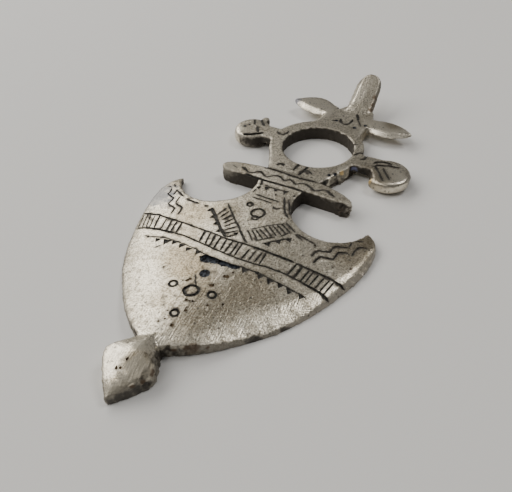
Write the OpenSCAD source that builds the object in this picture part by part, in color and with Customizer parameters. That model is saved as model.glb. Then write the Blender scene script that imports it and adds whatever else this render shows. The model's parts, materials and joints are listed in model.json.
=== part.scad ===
// Cast pendant in one piece: shield blade, neck, crossbar, ring with two round lobes,
// a crown of three leaves and a faceted bud at the foot. It lies on its flat back,
// with the centre of the ring's hole at the origin and the crown towards +Y.

/* [Ring] */
// Radius of the round hole
hole_r = 5.85; // [5:0.05:6.4]
// Height of the ring's face above the back
plate_h = 2.3; // [2.1:0.1:2.6]
// Outer radius of the ring
ring_r = 7.8; // [7.5:0.1:8.4]
// Sideways offset of the ring's outside from the hole
ring_off = -0.4; // [-0.5:0.1:0]

/* [Blade] */
// Sideways offset of the blade's middle line from the hole
axis_x = -0.65; // [-1:0.05:0]
// Height of the ridge along the blade
ridge_h = 2.3; // [1.9:0.1:2.6]
// Softness of the ridge, as a share of the half width
ridge_soft = 0.22; // [0.05:0.01:0.6]
// Outward lean of the blade's rim, from the face to the back
draft = 0.1; // [0:0.05:0.3]
// Radius of the two crescent cuts
cut_r = 5.9; // [5.5:0.1:6.1]
// Half the distance between the centres of the crescent cuts
cut_x = 9.3; // [9.1:0.1:9.8]
// Distance of the crescent cuts below the hole
cut_y = 14.2; // [13.9:0.1:14.6]
// How much larger the left crescent cut is, in radius
left_more = 0.2; // [0:0.05:0.3]

/* [Crossbar] */
// Height of the crossbar's face above the back
bar_h = 2.5; // [2.3:0.1:3]

/* [Lobes] */
// Radius of the left lobe
lobe_l_r = 3.2; // [2.7:0.1:3.4]
// Thickness of the left lobe
lobe_l_t = 2.2; // [1.2:0.1:2.2]
// Radius of the right lobe
lobe_r_r = 3.5; // [3:0.1:3.7]
// Thickness of the right lobe
lobe_r_t = 1.9; // [1.2:0.1:2.1]
// Width of the sloping rim round each lobe
lobe_rim = 0.4; // [0.1:0.1:0.5]
// Thickness of the stems between ring and lobes
stem_t = 1.3; // [1:0.1:2]

/* [Leaves] */
// Length of the side leaves
leaf_len = 8.6; // [7.8:0.1:9.4]
// Greatest half width of the side leaves
leaf_w = 2.2; // [1.8:0.05:2.4]
// Thickness of the side leaves
leaf_t = 1.1; // [0.9:0.1:1.5]
// Length of the middle leaf in plan
tongue_len = 8.4; // [7.4:0.1:9]
// Greatest half width of the middle leaf
tongue_w = 2.55; // [2:0.05:2.8]
// Height of the middle leaf's tip above the ring's face
tongue_rise = 4; // [2:0.1:5]
// Thickness of the middle leaf
tongue_t = 1.5; // [1.2:0.1:1.8]

/* [Bud] */
// Height of the bud at its widest place
bud_h = 3.2; // [2.8:0.1:3.6]
// Half width of the bud's foot
bud_w = 3.1; // [2.7:0.1:3.4]

/* [Hidden] */
silver = [0.72, 0.69, 0.62];
// Spaces between the points across the blade's face
across = 16;
// Room that a cutting tool has beyond a face
past = 1;
// Sides of the round cuts and discs
round_sides = 64;
// The most of the left half width that the flat middle takes
flat_most = 0.4;

// The first column of every table is the place along the piece
PLACE = 0;

// Blade: half widths to the left and right, rim height, half width of the flat middle
BLADE_LEFT = 1;
BLADE_RIGHT = 2;
BLADE_RIM = 3;
BLADE_FLAT = 4;
blade_rows = [
    [-15.0, 14.20, 15.20, 0.95, 4.6],
    [-15.6, 15.00, 16.10, 0.95, 4.6],
    [-16.6, 16.05, 16.95, 1.00, 4.4],
    [-18.0, 16.75, 17.40, 1.05, 4.2],
    [-21.0, 16.90, 17.50, 1.10, 3.4],
    [-24.0, 16.35, 17.00, 1.10, 2.2],
    [-27.0, 15.50, 16.05, 1.10, 1.2],
    [-30.0, 14.55, 14.95, 1.05, 0.6],
    [-33.0, 13.35, 13.50, 1.00, 0.3],
    [-36.0, 11.60, 11.70, 1.05, 0.2],
    [-38.5, 9.55, 9.55, 1.25, 0.2],
    [-40.5, 7.70, 7.65, 1.55, 0.2],
    [-42.0, 6.10, 6.05, 1.85, 0.2],
    [-43.2, 4.50, 4.50, 2.05, 0.2],
    [-44.1, 3.10, 3.10, 2.10, 0.2],
    [-44.8, 1.70, 1.80, 2.10, 0.2]
];

// Neck: how far it reaches past the narrowest place, and where it starts and ends
neck_spare = 2.2;
neck_low = -16.2;
neck_high = -9.4;

// Crossbar: upper and lower edge
BAR_UPPER = 1;
BAR_LOWER = 2;
bar_rows = [
    [-11.30, -11.30, -11.55],
    [-10.90, -10.65, -12.15],
    [-9.60, -10.00, -12.60],
    [-6.00, -9.30, -12.45],
    [-2.00, -9.00, -12.20],
    [2.00, -9.00, -12.10],
    [6.00, -9.45, -12.15],
    [8.60, -10.15, -12.25],
    [10.10, -10.95, -12.25],
    [10.55, -11.40, -11.80]
];

// How far the ring's outside lies above the hole's centre
ring_up = 0.2;
// Outlines of the collar under the ring and of the crown's root above it
collar = [[-7.5, -2.6], [-4.2, -9.6], [4.1, -9.6], [6.9, -3.2]];
crown_root = [
    [-4.2, 6], [-3.6, 9], [-3.4, 12.1], [-1.8, 13], [-0.9, 14.6],
    [4.3, 14.4], [4.9, 12.6], [5, 9], [4.9, 6.5], [5.6, 4.6]
];

// Lobes: centre X, centre Y, lower and upper side of the stem
LOBE_X = 0;
LOBE_Y = 1;
STEM_LOW = 2;
STEM_HIGH = 3;
left_lobe = [-12.5, 0.4, -1.3, 2.2];
right_lobe = [12.5, -1.6, -2.3, 1.2];
// How far the stems reach into the lobes and into the ring
stem_in = 1.4;
// The right lobe's straight side: its share of the radius, direction and length
flat_share = 0.72;
flat_turn = 212;
flat_len = 5.6;
// Small knob on the left lobe
knob_r = 0.65;
knob_t = 1.4;
knob_gap = 0.3;

// Leaves: X and Y of the root, direction, and shares of the length and the two half widths.
// The left and the middle leaf are given as mirrored in X
ROOT_X = 0;
ROOT_Y = 1;
ROOT_TURN = 2;
ROOT_LEN = 3;
ROOT_NEAR = 4;
ROOT_FAR = 5;
right_root = [3.9, 10.9, -4, 1, 1, 1.07];
left_root = [2.4, 11.45, 9, 0.94, 0.75, 1.7];
middle_root = [-1.8, 12.2, 86.5, 1, 1, 0.92];

// Half width and thickness of a leaf as shares of the greatest
LEAF_WIDTH = 1;
LEAF_DEEP = 2;
leaf_rows = [
    [0.00, 0.70, 1.00],
    [0.15, 0.78, 1.00],
    [0.32, 0.95, 0.92],
    [0.50, 1.00, 0.78],
    [0.68, 0.88, 0.68],
    [0.84, 0.60, 0.56],
    [0.94, 0.34, 0.48],
    [1.00, 0.12, 0.42]
];

// The middle leaf is blunter
tongue_rows = [
    [0.00, 0.96, 1],
    [0.25, 1.00, 1],
    [0.50, 1.00, 1],
    [0.68, 0.98, 1],
    [0.82, 0.95, 1],
    [0.92, 0.86, 1],
    [0.98, 0.70, 1],
    [1.00, 0.52, 1]
];
// Width of the slopes on the near and far side of a leaf, and the most of it that they take
near_slope = 1;
far_slope = 0.5;
near_most = 0.8;
far_most = 0.5;
// Share of a leaf's length over which its near slope grows from nothing at the root
slope_grows = 0.45;
slope_least = 0.04;
// How late the middle leaf curls up, 1 for a straight rise
curl = 1.45;
// Section of a leaf: shares of the half width, of the slope's width and of the thickness
SIDE = 0;
INWARD = 1;
UP = 2;
near_section = [[-0.95, 0, 0], [-1, 0, 0.2], [-1, 1, 0.96], [0, 0, 1]];
far_section = [[1, -1, 0.9], [1, 0, 0.5], [0.9, 0, 0]];

// Bud: half width, rim height and ridge height, as shares of its greatest
BUD_WIDTH = 1;
BUD_RIM = 2;
BUD_RIDGE = 3;
bud_rows = [
    [-43.6, 0.46, 0.50, 0.72],
    [-44.6, 0.50, 0.58, 0.80],
    [-45.6, 0.62, 0.70, 0.90],
    [-46.8, 0.80, 0.84, 0.98],
    [-48.2, 1.00, 0.90, 1.00],
    [-49.6, 0.84, 0.76, 0.88],
    [-51.0, 0.54, 0.56, 0.68],
    [-52.2, 0.22, 0.40, 0.48],
    [-52.8, 0.05, 0.33, 0.37]
];
// Section of the bud: share of the half width, and rise from the foot (0) by the rim (1) to the ridge (2)
RISE = 1;
bud_section = [
    [-0.96, 0],
    [-1.08, 1],
    [-0.50, 1.65],
    [0, 2],
    [0.46, 1.65],
    [0.86, 1],
    [1, 0]
];

// Value of column c at a place, on a smooth curve through the rows of a table
function row_at(rows, y, i = 0) =
    i >= len(rows) - 2 || (y - rows[i][PLACE]) * (y - rows[i + 1][PLACE]) <= 0
        ? i
        : row_at(rows, y, i + 1);
function hermite(a, b, ta, tb, f) =
    a * (2 * f * f * f - 3 * f * f + 1) + ta * (f * f * f - 2 * f * f + f)
    + b * (3 * f * f - 2 * f * f * f) + tb * (f * f * f - f * f);
function slope(rows, i, c) =
    let (a = max(i - 1, 0), b = min(i + 1, len(rows) - 1))
    (rows[b][c] - rows[a][c]) / (rows[b][PLACE] - rows[a][PLACE]);
function col_at(rows, c, y) =
    let (
        i = row_at(rows, y),
        d = rows[i + 1][PLACE] - rows[i][PLACE],
        f = (y - rows[i][PLACE]) / d
    )
    hermite(rows[i][c], rows[i + 1][c], slope(rows, i, c) * d, slope(rows, i + 1, c) * d, f);

// Places along a table, with n steps between two rows
function places(rows, n) = [
    for (i = [0:len(rows) - 2]) for (k = [0:n - 1])
        rows[i][PLACE] + (rows[i + 1][PLACE] - rows[i][PLACE]) * k / n,
    rows[len(rows) - 1][PLACE]
];

// Fall of the blade's face from the ridge, 0 in the middle and 1 at the rim
function fall(t) = (sqrt(t * t + ridge_soft * ridge_soft) - ridge_soft)
    / (sqrt(1 + ridge_soft * ridge_soft) - ridge_soft);
function face_z(x, w, edge, flat) =
    ridge_h - (ridge_h - edge) * fall(max(0, abs(x) - flat) / (w - flat));

// One ring of points across the blade: the rim's foot, the face, the rim's foot
function blade_ring(y) =
    let (
        left = col_at(blade_rows, BLADE_LEFT, y) - draft,
        right = col_at(blade_rows, BLADE_RIGHT, y) - draft,
        edge = col_at(blade_rows, BLADE_RIM, y),
        flat = min(col_at(blade_rows, BLADE_FLAT, y), left * flat_most)
    )
    [
        [axis_x - left - draft, y, 0],
        for (k = [0:across])
            let (t = 2 * k / across - 1, w = t < 0 ? left : right)
            [axis_x + t * w, y, face_z(t * w, w, edge, flat)],
        [axis_x + right + draft, y, 0]
    ];

// A skin over rings of points of one count, with flat ends
module skin(rings) {
    n = len(rings[0]);
    m = len(rings);
    sides = [
        for (i = [0:m - 2]) for (k = [0:n - 1])
            let (a = i * n + k, b = i * n + (k + 1) % n) each [[a, b, b + n], [a, b + n, a + n]]
    ];
    ends = [[for (k = [n - 1:-1:0]) k], [for (k = [0:n - 1]) (m - 1) * n + k]];
    polyhedron([for (r = rings) each r], concat(sides, ends));
}

module crescent_cuts() {
    for (side = [-1, 1])
        let (more = side < 0 ? left_more : 0)
            translate([axis_x + side * (cut_x + more), -cut_y, -past])
                cylinder(h = plate_h + 2 * past, r = cut_r + more, $fn = round_sides);
}

module blade() {
    difference() {
        skin([for (y = places(blade_rows, 2)) blade_ring(y)]);
        crescent_cuts();
    }
}

// Waist between the crescent cuts, from the blade's shoulders up into the crossbar
module neck() {
    half = cut_x - cut_r + neck_spare;
    difference() {
        translate([axis_x - half, neck_low, 0])
            cube([2 * half, neck_high - neck_low, plate_h]);
        crescent_cuts();
    }
}

module crossbar() {
    xs = places(bar_rows, 3);
    upper = [for (x = xs) [x, col_at(bar_rows, BAR_UPPER, x)]];
    lower = [for (i = [len(xs) - 1:-1:0]) [xs[i], col_at(bar_rows, BAR_LOWER, xs[i])]];
    linear_extrude(bar_h)
        polygon(concat(upper, lower));
}

// Ring with the collar that joins it to the crossbar and the root of the crown
module ring_body() {
    translate([ring_off, ring_up, 0])
        cylinder(h = plate_h, r = ring_r, $fn = round_sides);
    linear_extrude(plate_h)
        polygon(collar);
    linear_extrude(plate_h)
        polygon(crown_root);
}

// Round disc with a sloping rim, level with the ring's face
module lobe(row, r, t) {
    translate([row[LOBE_X], row[LOBE_Y], plate_h - t])
        rotate_extrude($fn = round_sides)
            polygon([
                [0, 0], [r - lobe_rim, 0], [r, lobe_rim], [r, t - lobe_rim],
                [r - lobe_rim, t], [0, t]
            ]);
}

module stem(row, side) {
    near = ring_off + side * (ring_r - stem_in);
    far = row[LOBE_X] - side * stem_in;
    translate([0, 0, plate_h - stem_t])
        linear_extrude(stem_t)
            polygon([
                [near, row[STEM_LOW]], [far, row[STEM_LOW]],
                [far, row[STEM_HIGH]], [near, row[STEM_HIGH]]
            ]);
}

module left_side() {
    lobe(left_lobe, lobe_l_r, lobe_l_t);
    stem(left_lobe, -1);
    translate([left_lobe[LOBE_X] + knob_r, left_lobe[LOBE_Y] + lobe_l_r + knob_gap, plate_h - knob_t])
        cylinder(h = knob_t, r = knob_r, $fn = round_sides);
}

// The right lobe has a straight side towards the crossbar
module right_side() {
    difference() {
        lobe(right_lobe, lobe_r_r, lobe_r_t);
        translate([right_lobe[LOBE_X], right_lobe[LOBE_Y], 0])
            rotate([0, 0, flat_turn])
                translate([lobe_r_r * flat_share, flat_len / 2 - lobe_r_r * 2, -past])
                    cube([lobe_r_r, flat_len, plate_h + 2 * past]);
    }
    stem(right_lobe, 1);
}

// One ring of points across a leaf at the share s of its length, steep on its near side.
// Where it is thinner than the root, its foot rises and its face stays level
function leaf_ring(s, length, wn, wf, root_t, t, rise) =
    let (
        x = s * length,
        z = rise * pow(s, curl) + root_t - t,
        near = min(near_slope, wn * near_most) * min(1, slope_least + s / slope_grows),
        far = min(far_slope, wf * far_most)
    )
    [
        for (p = near_section) [x, p[SIDE] * wn + p[INWARD] * near, z + p[UP] * t],
        for (p = far_section) [x, p[SIDE] * wf + p[INWARD] * far, z + p[UP] * t]
    ];

module leaf(rows, root, length, w, t, rise) {
    translate([root[ROOT_X], root[ROOT_Y], plate_h - t])
        rotate([0, 0, root[ROOT_TURN]])
            skin([
                for (s = places(rows, 2))
                    let (
                        share = col_at(rows, LEAF_WIDTH, s),
                        wn = share * w * root[ROOT_NEAR],
                        wf = share * w * root[ROOT_FAR]
                    )
                    leaf_ring(s, length * root[ROOT_LEN], wn, wf, t, t * col_at(rows, LEAF_DEEP, s), rise)
            ]);
}

// Two side leaves, and a middle one that curls up from the ring's face
module crown() {
    leaf(leaf_rows, right_root, leaf_len, leaf_w, leaf_t, 0);
    mirror([1, 0, 0])
        leaf(leaf_rows, left_root, leaf_len, leaf_w, leaf_t, 0);
    mirror([1, 0, 0])
        leaf(tongue_rows, middle_root, tongue_len, tongue_w, tongue_t, tongue_rise);
}

// One ring of points across the bud: from foot to rim on the left, over the ridge, and down
function bud_ring(y) =
    let (
        w = col_at(bud_rows, BUD_WIDTH, y) * bud_w,
        rim = col_at(bud_rows, BUD_RIM, y) * bud_h,
        ridge = col_at(bud_rows, BUD_RIDGE, y) * bud_h
    )
    [
        for (p = bud_section)
            let (up = p[RISE])
            [axis_x + p[SIDE] * w, y, up <= 1 ? rim * up : rim + (ridge - rim) * (up - 1)]
    ];

module bud() {
    skin([for (y = places(bud_rows, 2)) bud_ring(y)]);
}

module pendant() {
    color(silver)
        difference() {
            union() {
                blade();
                neck();
                crossbar();
                ring_body();
                left_side();
                right_side();
                crown();
                bud();
            }
            translate([0, 0, -past])
                cylinder(h = bar_h + 2 * past, r = hole_r, $fn = round_sides);
        }
}

pendant();
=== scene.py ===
"""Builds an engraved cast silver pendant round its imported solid, and a plain stage for it."""

import json
import math

import bmesh
import bpy
import numpy as np
from bpy.props import FloatProperty, FloatVectorProperty, IntProperty, PointerProperty
from bpy.types import Operator, Panel, PropertyGroup
from mathutils import Matrix, Vector, kdtree, noise
from mathutils.bvhtree import BVHTree


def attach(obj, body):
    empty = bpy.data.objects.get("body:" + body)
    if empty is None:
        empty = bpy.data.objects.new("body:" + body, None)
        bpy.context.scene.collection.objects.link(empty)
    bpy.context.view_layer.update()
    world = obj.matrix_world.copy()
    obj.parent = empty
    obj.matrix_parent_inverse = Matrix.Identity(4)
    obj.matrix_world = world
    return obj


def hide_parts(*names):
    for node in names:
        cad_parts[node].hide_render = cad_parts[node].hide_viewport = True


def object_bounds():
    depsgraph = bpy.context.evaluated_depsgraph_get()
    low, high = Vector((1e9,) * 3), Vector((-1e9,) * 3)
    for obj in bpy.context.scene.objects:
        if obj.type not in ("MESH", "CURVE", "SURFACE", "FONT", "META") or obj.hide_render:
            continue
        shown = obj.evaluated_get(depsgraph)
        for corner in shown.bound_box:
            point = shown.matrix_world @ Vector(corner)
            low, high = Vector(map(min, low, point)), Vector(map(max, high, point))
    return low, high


bl_info = {
    "name": "Engraved Silver Pendant",
    "version": (1, 0, 0),
    "blender": (4, 5, 0),
    "location": "View3D > Sidebar > Pendant",
    "description": "Wears, engraves and ages a cast silver pendant, and sets a plain stage round it",
    "category": "Object",
}

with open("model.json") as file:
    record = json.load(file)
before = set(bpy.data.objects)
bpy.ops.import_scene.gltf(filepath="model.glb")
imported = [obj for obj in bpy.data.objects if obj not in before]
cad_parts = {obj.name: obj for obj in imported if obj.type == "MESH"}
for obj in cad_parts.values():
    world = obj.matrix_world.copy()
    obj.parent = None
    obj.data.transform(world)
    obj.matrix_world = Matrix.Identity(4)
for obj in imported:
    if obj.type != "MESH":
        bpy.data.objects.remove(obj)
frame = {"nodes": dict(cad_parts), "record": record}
CAD_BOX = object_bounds()

# Millimetres to metres, and back
MM = 0.001
PER_M = 1000.0

# Facts of the solid, in millimetres: the face's height at the hole, and where the blade's bays start
FACE_H = next(m for m in frame["record"]["mounts"] if m["name"] == "ring_hole")["dims"]["length_mm"]
BLADE_TOP = -17.0

# Names of the piece, its materials and its attributes
PIECE = "pendant_silver"
SILVER = "cast_silver"
INK = "blackened_cut"
RUST = "brown_pit"
SLATE = "dark_disc"
WIDTH = "cut_width"
COUNT = "cut_count"
HALF = "rung_half"
LEAN = "rung_lean"
TURN = "punch_turn"
SIZE = "punch_size"
HALO = "halo"
SHADE_AND_TARNISH = "shelter"
STAIN_AND_LIGHT = "stain"
TINT_AND_LIGHT = "tint"
BARE_AND_HIGHLIT = "bare"
RAW = "raw"
CREST_SHADE = "crest"
DULL_AND_SHADE = "dull"

# Height from which a chart's points drop on to the casting, in millimetres
ABOVE = 50

# Dents, in millimetres: size of the broad ones, of the fine ones and of the skin's roughness. The
# fine ones have a share of the broad ones' depth.
BROAD, FINE, ROUGH = 2.6, 0.8, 0.55
FINE_SHARE = 0.35

# Steps of strength in which the melting of a joint fades
MELT_BANDS = 4

# Back: what lies lower than this, in millimetres, with a normal whose Z is less than this
BACK_HIGH, BACK_FACING = 0.12, -0.9

# Rolled face: its least height, and the height from which it falls in full, in millimetres
FACE_LOW, FACE_FULL = 0.1, 0.9

# Groove: width at the foot, at the top and at its ends, as shares of the cut's width
GROOVE_FOOT, GROOVE_TOP, GROOVE_END = 0.3, 1.7, 0.4

# Punch: its radius at the tip and at the top, as shares of its size
PUNCH_TIP, PUNCH_TOP = 0.55, 1.45

# Dirt and burrs, in millimetres: how far dirt reaches from a cut, how broad a burr is, and how far
# from a cut a crest starts to show and shows in full
HALO_REACH = 0.2
BURR_WIDTH = 0.12
CREST_OFF = (0.35, 0.7)

# How much two neighbouring normals turn apart where a crest starts to show and shows in full
CREST_TURN = (0.02, 0.12)

# Painted shade and tarnish of sheltered walls: how far a wall looks for another, how far off itself and how
# high at most it starts, in millimetres, and in what directions, in degrees. A wall's normal is at least so
# long in plan.
LOOK_FAR, LOOK_LIFT, LOOK_HIGH = 13.0, 0.2, 1.6
LOOK_FAN = (-60, -30, 0, 30, 60)
WALL_OUT = 0.85

# Sizes of the silver's patterns, in millimetres
PATCH, MOTTLE, GRAIN = 5.0, 0.8, 0.22

# File marks: direction in degrees, length and width in millimetres
FILE_MARKS = (97, 1.7, 0.15)
CROSS_MARKS = (40, 1.1, 0.18)

# Pinholes: spacing and width in millimetres
PINHOLES = ((0.9, 0.24), (0.5, 0.15))

# The Z of the normal where the face starts to turn into a wall, and where it is one; walls are painted
# darker there, as cast skin and as painted shade
WALL = (0.945, 0.68)

# Least angle between two faces that meet in a sharp edge, in degrees
SHARP = 32

# Camera: place in millimetres, azimuth, elevation and roll in degrees
CAMERA_PLACE = (29.86, -71.75, 52.49)
CAMERA_VIEW = (120.57, -43.15)
CAMERA_ROLL = -2.03

# Chart: how far a tick runs past its lower line, and the length of a single mark's path, in
# millimetres, and the turn from one pit to the next in degrees
TICK_PAST = 0.15
TINY = 0.001
PIT_TURN = 37

# Rings: least number of sides, and the turn of a side in degrees
LEAST_SIDES, SIDE_TURN = 6, 18

# Lines of the ladder band and of the punches below it, from left to right: X, Y in millimetres
BAND_TOP = [
    (-16.2, -26.1), (-15.1, -25.8), (-13.5, -25.55), (-11.6, -25.7), (-8.8, -25.8), (-6.1, -26),
    (-4.1, -26.05), (-1.8, -26.25), (0.4, -26.05), (2.5, -25.9), (5.1, -25.8), (8.3, -25.65), (9.5, -25.7),
    (12.7, -25.7), (14.2, -25.8), (15.6, -25.95),
]
BAND_FOOT = [
    (-14.9, -29), (-13.4, -28.6), (-12.6, -28.4), (-10.6, -28.2), (-9.1, -28.1), (-7.3, -28.05),
    (-4.5, -28.45), (-2.2, -28.7), (0.2, -28.8), (1.7, -28.8), (3.8, -28.55), (5.4, -28.3), (8, -28.1),
    (10.8, -28.2), (13.3, -28.4), (14.6, -28.7),
]
ROW_LINE = [
    (-12.6, -30.1), (-11.4, -29.8), (-10, -29.45), (-8.9, -29.4), (-6, -29.55), (-4.2, -29.8),
    (-2.6, -30.15), (-1, -30.2), (1.3, -30.1), (2.9, -29.85), (5.6, -29.6), (7.8, -29.75), (9.4, -29.75),
    (12.1, -30.05),
]

# Strokes that the band's lines were cut in: width of the cut, line, first and last X, step up in Y
BAND_STROKES = [
    (0.28, BAND_TOP, -16.2, 2.6, 0), (0.38, BAND_TOP, 2.3, 8.3, 0), (0.32, BAND_TOP, 8.6, 15.6, 0),
    (0.2, BAND_FOOT, -14.9, -13.2, 0), (0.36, BAND_FOOT, -13.6, -9.1, 0), (0.25, BAND_FOOT, -9, 5.4, 0),
    (0.24, BAND_FOOT, 4.9, 10.9, 0.1), (0.38, BAND_FOOT, 10.5, 14.6, 0), (0.16, ROW_LINE, -12.6, 12.1, 0),
]

# Ticks of the band: X at its upper line and at its lower one, width of the cut, gap at the top
TICKS = [
    (-15.85, -14.9, 0.17, 0.3), (-15.3, -14.3, 0.19, 0.2), (-14.8, -13.7, 0.17, 0.2),
    (-14.1, -13.2, 0.19, 0.2), (-13.4, -12.5, 0.29, 0), (-12, -11.4, 0.24, 0.2), (-11.1, -10.5, 0.24, 0),
    (-10.2, -9.8, 0.24, 0), (-9.3, -8.9, 0.3, 0), (-5.2, -4.7, 0.33, 0), (-4.3, -3.7, 0.26, 0),
    (-3.4, -2.95, 0.29, 0), (-2.5, -2.2, 0.27, 0), (-1.55, -1.2, 0.29, 0), (-0.6, -0.5, 0.27, 0.1),
    (0.2, 0.4, 0.29, 0), (0.8, 1, 0.26, 0), (2.15, 2.1, 0.24, 0.6), (3.05, 3.05, 0.2, 0.4),
    (3.95, 3.8, 0.22, 0.4), (4.45, 4.55, 0.2, 0.3), (8.7, 8.5, 0.27, 0), (9.6, 9.4, 0.3, 0),
    (10.6, 10.35, 0.27, 0), (11.15, 10.95, 0.23, 0), (11.95, 11.6, 0.24, 0), (12.75, 12.4, 0.24, 0.2),
    (13.5, 13.1, 0.24, 0.2), (14.1, 13.7, 0.23, 0.1),
]

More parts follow.
